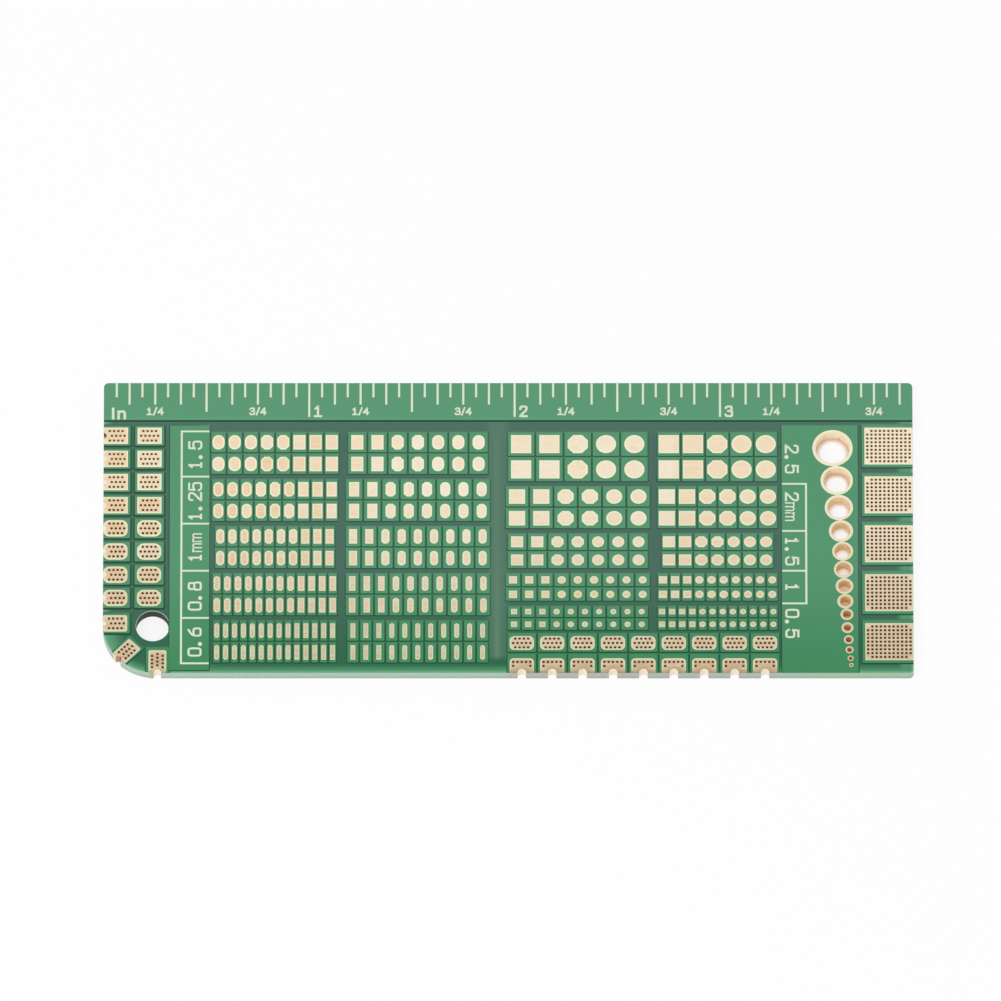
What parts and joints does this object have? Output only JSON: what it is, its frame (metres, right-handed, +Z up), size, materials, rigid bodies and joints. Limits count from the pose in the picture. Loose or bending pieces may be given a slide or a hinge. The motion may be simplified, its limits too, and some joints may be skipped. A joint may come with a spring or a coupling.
{
  "type": "soldering practice board",
  "caption": "Green circuit board for soldering practice: pads in graded sizes, plated holes, castellated edge pads and an inch scale.",
  "frame": {"origin": "middle of the board's outline, on the surface that its underside rests on", "axes": "+X along the inch scale, towards the large pierced pads; +Y towards the scale's edge; +Z up, out of the printed face"},
  "size_m": [0.1, 0.04, 0.0016],
  "materials": {
    "solder_resist": "green solder resist over glass-fibre laminate, satin gloss",
    "pad_gold": "pale gold-plated copper, flat and satin",
    "print_ink": "matt off-white screen print"
  },
  "bodies": {
    "root": {"board": "solder_resist", "oblong_pads_close_1": "pad_gold", "oblong_pads_close_2": "pad_gold", "oblong_pads_close_3": "pad_gold", "oblong_pads_close_4": "pad_gold", "oblong_pads_close_5": "pad_gold", "oblong_pads_wide_1": "pad_gold", "oblong_pads_wide_2": "pad_gold", "oblong_pads_wide_3": "pad_gold", "oblong_pads_wide_4": "pad_gold", "oblong_pads_wide_5": "pad_gold", "dot_pads_wide_1": "pad_gold", "dot_pads_wide_2": "pad_gold", "dot_pads_wide_3": "pad_gold", "dot_pads_wide_4": "pad_gold", "dot_pads_wide_5": "pad_gold", "dot_pads_close_1": "pad_gold", "dot_pads_close_2": "pad_gold", "dot_pads_close_3": "pad_gold", "dot_pads_close_4": "pad_gold", "dot_pads_close_5": "pad_gold", "perforated_pads_left": "pad_gold", "perforated_pads_bottom": "pad_gold", "perforated_pads_right": "pad_gold", "edge_pads_left": "pad_gold", "edge_pads_bottom": "pad_gold", "edge_pad_corner": "pad_gold", "edge_pad_foot": "pad_gold", "plated_hole_01": "pad_gold", "plated_hole_02": "pad_gold", "plated_hole_03": "pad_gold", "plated_hole_04": "pad_gold", "plated_hole_05": "pad_gold", "plated_hole_06": "pad_gold", "plated_hole_07": "pad_gold", "plated_hole_08": "pad_gold", "plated_hole_09": "pad_gold", "plated_hole_10": "pad_gold", "plated_hole_11": "pad_gold", "plated_hole_12": "pad_gold", "plated_hole_13": "pad_gold", "plated_hole_14": "pad_gold", "ruler_scale": "print_ink", "label_frame_left": "print_ink", "label_frame_right": "print_ink"}
  },
  "joints": []
}
